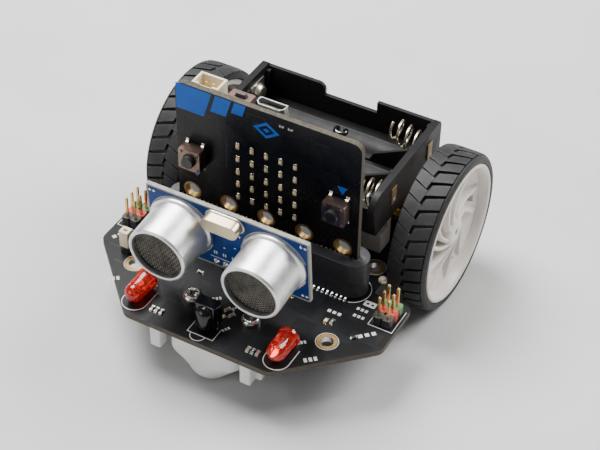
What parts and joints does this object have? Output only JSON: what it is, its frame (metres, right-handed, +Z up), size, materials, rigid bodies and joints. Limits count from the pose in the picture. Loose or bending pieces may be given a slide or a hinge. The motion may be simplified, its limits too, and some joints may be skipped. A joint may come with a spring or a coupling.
{
  "type": "two wheel robot car",
  "caption": "Small wheeled robot on a circuit board chassis: upright plug-in controller, distance sensor, lamps, geared motors, ball caster and open battery tray.",
  "frame": {"origin": "on the ground, at the centre of the bounding box", "axes": "+Z up, -Y is the front with the distance sensor, +X runs along the wheel axle"},
  "size_m": [0.0824, 0.084, 0.0642],
  "materials": {
    "board_black": "solder mask",
    "board_blue": "solder mask",
    "black_plastic": "moulded",
    "socket_plastic": "moulded",
    "tray_plastic": "moulded, slight sheen",
    "white_plastic": "moulded",
    "rim_plastic": "moulded",
    "tyre_rubber": "moulded tread",
    "cream_plastic": "moulded",
    "switch_metal": "bronze tinted",
    "header_plastic": "black, red and green rows",
    "gold": "gold plated",
    "brass": "machined",
    "tin": "tinned",
    "steel": "plated",
    "chrome": "polished",
    "aluminium": "satin",
    "sensor_mesh": "dark woven mesh",
    "red_lens": "translucent epoxy",
    "lamp": "surface mount"
  },
  "bodies": {
    "chassis": {"chassis_board": "board_black", "controller_board": "board_black", "edge_socket": "socket_plastic", "socket_contacts": "tin", "led_matrix": "lamp", "button_a_body": "switch_metal", "button_b_body": "switch_metal", "reset_body": "switch_metal", "usb_socket": "chrome", "cell_socket": "cream_plastic", "circuit_chips": "black_plastic", "sonar_board": "board_blue", "sonar_cans": "aluminium", "sonar_inserts": "sensor_mesh", "sonar_crystal": "steel", "sonar_pins": "gold", "sonar_socket": "black_plastic", "led_lenses": "red_lens", "ir_receiver": "black_plastic", "sensor_leads": "tin", "header_bases": "header_plastic", "header_pins": "gold", "jumper_header": "gold", "jumper_cap": "cream_plastic", "caster_housing": "white_plastic", "caster_screws": "chrome", "power_switch_body": "steel", "buzzer": "black_plastic", "motor_cans": "steel", "motor_end_caps": "black_plastic", "gearbox_plates": "brass", "motor_brackets": "white_plastic", "bracket_screws": "steel", "bracket_nuts": "steel", "battery_tray": "tray_plastic", "battery_springs": "chrome", "battery_contacts": "brass", "tray_standoffs": "white_plastic", "tray_screws": "steel", "battery_inlet": "cream_plastic", "line_sensors": "black_plastic"},
    "button_a": {"button_a_plunger": "black_plastic"},
    "button_b": {"button_b_plunger": "black_plastic"},
    "reset_button": {"reset_plunger": "black_plastic"},
    "power_slider": {"power_switch_slider": "black_plastic"},
    "ball": {"caster_ball": "white_plastic"},
    "left_wheel": {"left_output_shaft": "steel", "left_rim": "rim_plastic", "left_tyre": "tyre_rubber"},
    "left_gear_3": {"left_third_gear": "brass"},
    "left_gear_2": {"left_second_gear": "brass"},
    "left_gear_1": {"left_first_gear": "brass"},
    "left_rotor": {"left_motor_shaft": "steel"},
    "right_wheel": {"right_output_shaft": "steel", "right_rim": "rim_plastic", "right_tyre": "tyre_rubber"},
    "right_gear_3": {"right_third_gear": "brass"},
    "right_gear_2": {"right_second_gear": "brass"},
    "right_gear_1": {"right_first_gear": "brass"},
    "right_rotor": {"right_motor_shaft": "steel"}
  },
  "joints": [
    {"name": "left_wheel_spin", "type": "hinge", "parent": "chassis", "child": "left_wheel", "pos_m": [-0.036, 0.0205, 0.0215], "axis": [1, 0, 0], "continuous": true},
    {"name": "left_gear_3_spin", "type": "hinge", "parent": "chassis", "child": "left_gear_3", "pos_m": [-0.024, 0.0238, 0.0215], "axis": [1, 0, 0], "continuous": true},
    {"name": "left_gear_2_spin", "type": "hinge", "parent": "chassis", "child": "left_gear_2", "pos_m": [-0.024, 0.0205, 0.0215], "axis": [1, 0, 0], "continuous": true},
    {"name": "left_gear_1_spin", "type": "hinge", "parent": "chassis", "child": "left_gear_1", "pos_m": [-0.024, 0.0238, 0.0215], "axis": [1, 0, 0], "continuous": true},
    {"name": "left_rotor_spin", "type": "hinge", "parent": "chassis", "child": "left_rotor", "pos_m": [-0.024, 0.0205, 0.0215], "axis": [1, 0, 0], "continuous": true},
    {"name": "right_wheel_spin", "type": "hinge", "parent": "chassis", "child": "right_wheel", "pos_m": [0.036, 0.0205, 0.0215], "axis": [1, 0, 0], "continuous": true},
    {"name": "right_gear_3_spin", "type": "hinge", "parent": "chassis", "child": "right_gear_3", "pos_m": [0.024, 0.0238, 0.0215], "axis": [1, 0, 0], "continuous": true},
    {"name": "right_gear_2_spin", "type": "hinge", "parent": "chassis", "child": "right_gear_2", "pos_m": [0.024, 0.0205, 0.0215], "axis": [1, 0, 0], "continuous": true},
    {"name": "right_gear_1_spin", "type": "hinge", "parent": "chassis", "child": "right_gear_1", "pos_m": [0.024, 0.0238, 0.0215], "axis": [1, 0, 0], "continuous": true},
    {"name": "right_rotor_spin", "type": "hinge", "parent": "chassis", "child": "right_rotor", "pos_m": [0.024, 0.0205, 0.0215], "axis": [1, 0, 0], "continuous": true},
    {"name": "ball_roll", "type": "hinge", "parent": "chassis", "child": "ball", "pos_m": [0, -0.0341, 0.0055], "axis": [1, 0, 0], "continuous": true},
    {"name": "button_a_press", "type": "slide", "parent": "chassis", "child": "button_a", "axis": [0, 1, 0], "range_m": [0, 0.0003], "stiffness_N_per_m": 600, "springref_m": -0.001},
    {"name": "button_b_press", "type": "slide", "parent": "chassis", "child": "button_b", "axis": [0, 1, 0], "range_m": [0, 0.0003], "stiffness_N_per_m": 600, "springref_m": -0.001},
    {"name": "reset_press", "type": "slide", "parent": "chassis", "child": "reset_button", "axis": [0, 0, -1], "range_m": [0, 0.0003], "stiffness_N_per_m": 600, "springref_m": -0.001},
    {"name": "power_slide", "type": "slide", "parent": "chassis", "child": "power_slider", "axis": [1, 0, 0], "range_m": [0, 0.002]}
  ],
  "couplings": [
    {"joint": "left_gear_3_spin", "follows": "left_wheel_spin", "ratio": -2.6667},
    {"joint": "left_gear_2_spin", "follows": "left_wheel_spin", "ratio": 7.1111},
    {"joint": "left_gear_1_spin", "follows": "left_wheel_spin", "ratio": -18.963},
    {"joint": "left_rotor_spin", "follows": "left_wheel_spin", "ratio": 50.568},
    {"joint": "right_gear_3_spin", "follows": "right_wheel_spin", "ratio": -2.6667},
    {"joint": "right_gear_2_spin", "follows": "right_wheel_spin", "ratio": 7.1111},
    {"joint": "right_gear_1_spin", "follows": "right_wheel_spin", "ratio": -18.963},
    {"joint": "right_rotor_spin", "follows": "right_wheel_spin", "ratio": 50.568}
  ]
}
